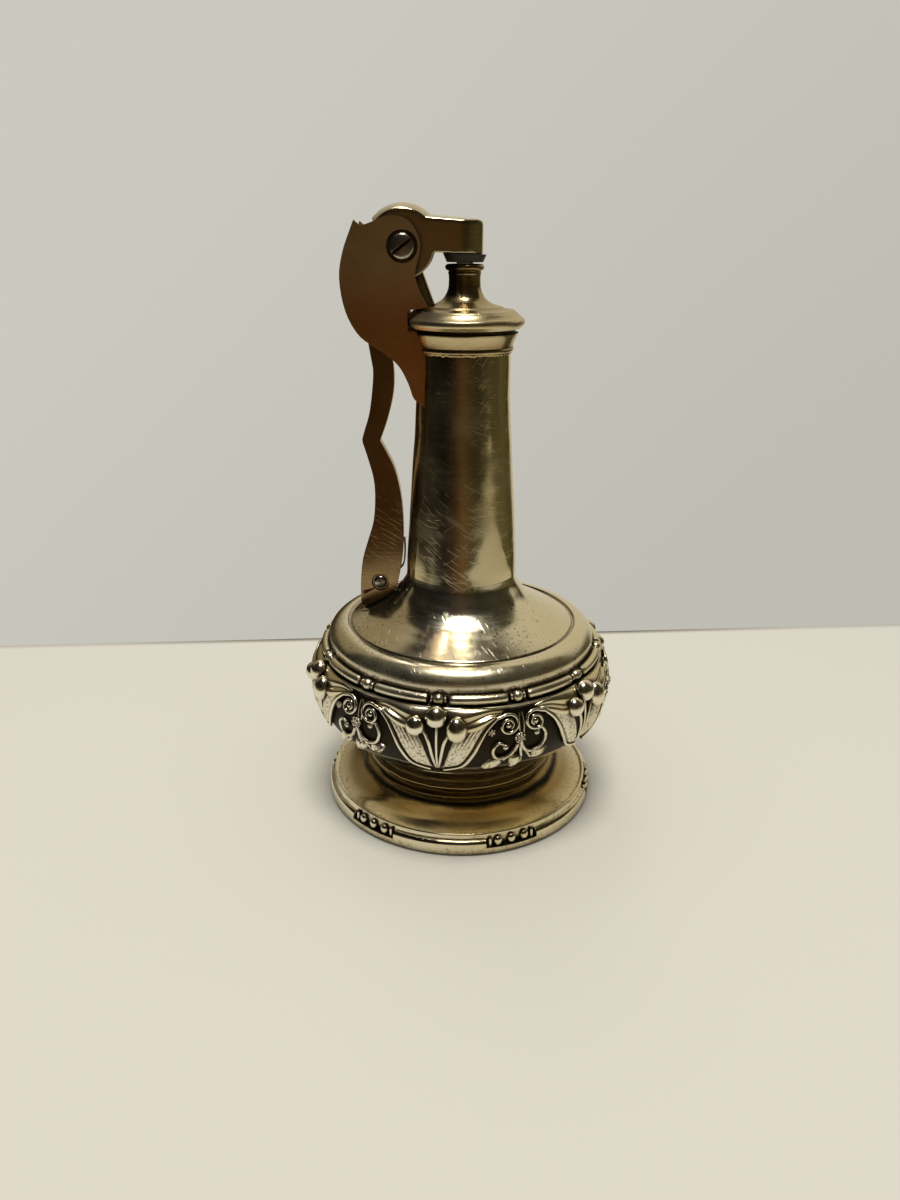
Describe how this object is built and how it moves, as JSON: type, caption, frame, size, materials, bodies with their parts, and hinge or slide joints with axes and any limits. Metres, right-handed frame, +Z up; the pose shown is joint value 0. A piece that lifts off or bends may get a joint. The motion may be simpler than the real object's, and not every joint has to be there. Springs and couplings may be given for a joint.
{
  "type": "table lighter",
  "caption": "Vase-shaped table lighter with a chased frieze; a squeeze lever lifts the hooded snuffer and spins the spark wheel through a toothed sector.",
  "frame": {"origin": "on the vase's axis, at the underside of the foot", "axes": "+Z up along the vase's axis; the lever and pivot stand on the -X side, the snuffer arm reaches towards +X, and the screw head faces -Y"},
  "size_m": [0.0554, 0.0558, 0.1049],
  "materials": {
    "silver": "hand-polished silver with fine scratches, and brown tarnish in its creases",
    "dark_silver": "silver with an oxidised, nearly black ground behind the frieze",
    "satin_silver": "silver plate filed and brushed to a satin grain",
    "steel": "hardened steel, dull",
    "brass": "turned brass",
    "flint": "dark sintered lighter flint",
    "wick_cotton": "woven cotton wick, charred at its tip",
    "cotton_wool": "loose cotton wadding",
    "leather": "pressed leather sealing washer"
  },
  "bodies": {
    "vase": {"foot": "silver", "panel_beads": "silver", "neck_ring": "silver", "bowl": "dark_silver", "frieze_leaves": "silver", "frieze_berries": "silver", "frieze_scrolls": "silver", "rod_and_bead_moulding": "silver", "shoulder": "silver", "column": "silver", "collar": "silver", "burner_cap": "silver", "wick": "wick_cotton", "wadding": "cotton_wool", "base_plate": "silver", "filler_plug": "silver", "plug_washer": "leather", "front_cheek": "satin_silver", "rear_cheek": "satin_silver", "pivot_screw": "satin_silver", "pivot_bush": "brass", "flint_tube": "brass", "flint": "flint", "flint_spring": "steel", "flint_plug": "brass", "lever_lug": "satin_silver", "lever_pin": "satin_silver", "leaf_spring": "steel"},
    "snuffer_arm": {"snuffer_arm": "silver", "snuffer_cup": "silver", "arm_pinion": "brass", "wheel_pawl": "steel"},
    "spark_wheel": {"spark_wheel": "steel", "ratchet_disc": "steel"},
    "lever": {"lever": "satin_silver", "toothed_sector": "satin_silver", "sector_rivets": "steel"}
  },
  "joints": [
    {"name": "lever_squeeze", "type": "hinge", "parent": "vase", "child": "lever", "pos_m": [-0.0147, 0, 0.0416], "axis": [0, 1, 0], "range_deg": [0, 3.5], "stiffness_Nm_per_rad": 1.5, "springref_deg": -1.15, "deforming": ["leaf_spring"]},
    {"name": "arm_lift", "type": "hinge", "parent": "vase", "child": "snuffer_arm", "pos_m": [-0.0098, 0, 0.0985], "axis": [0, -1, 0], "range_deg": [0, 73.4]},
    {"name": "wheel_spin", "type": "hinge", "parent": "vase", "child": "spark_wheel", "pos_m": [-0.0098, 0, 0.0985], "axis": [0, -1, 0], "range_deg": [0, 73.4]}
  ],
  "couplings": [
    {"joint": "arm_lift", "follows": "lever_squeeze", "ratio": 20.966},
    {"joint": "wheel_spin", "follows": "lever_squeeze", "ratio": 20.966}
  ]
}
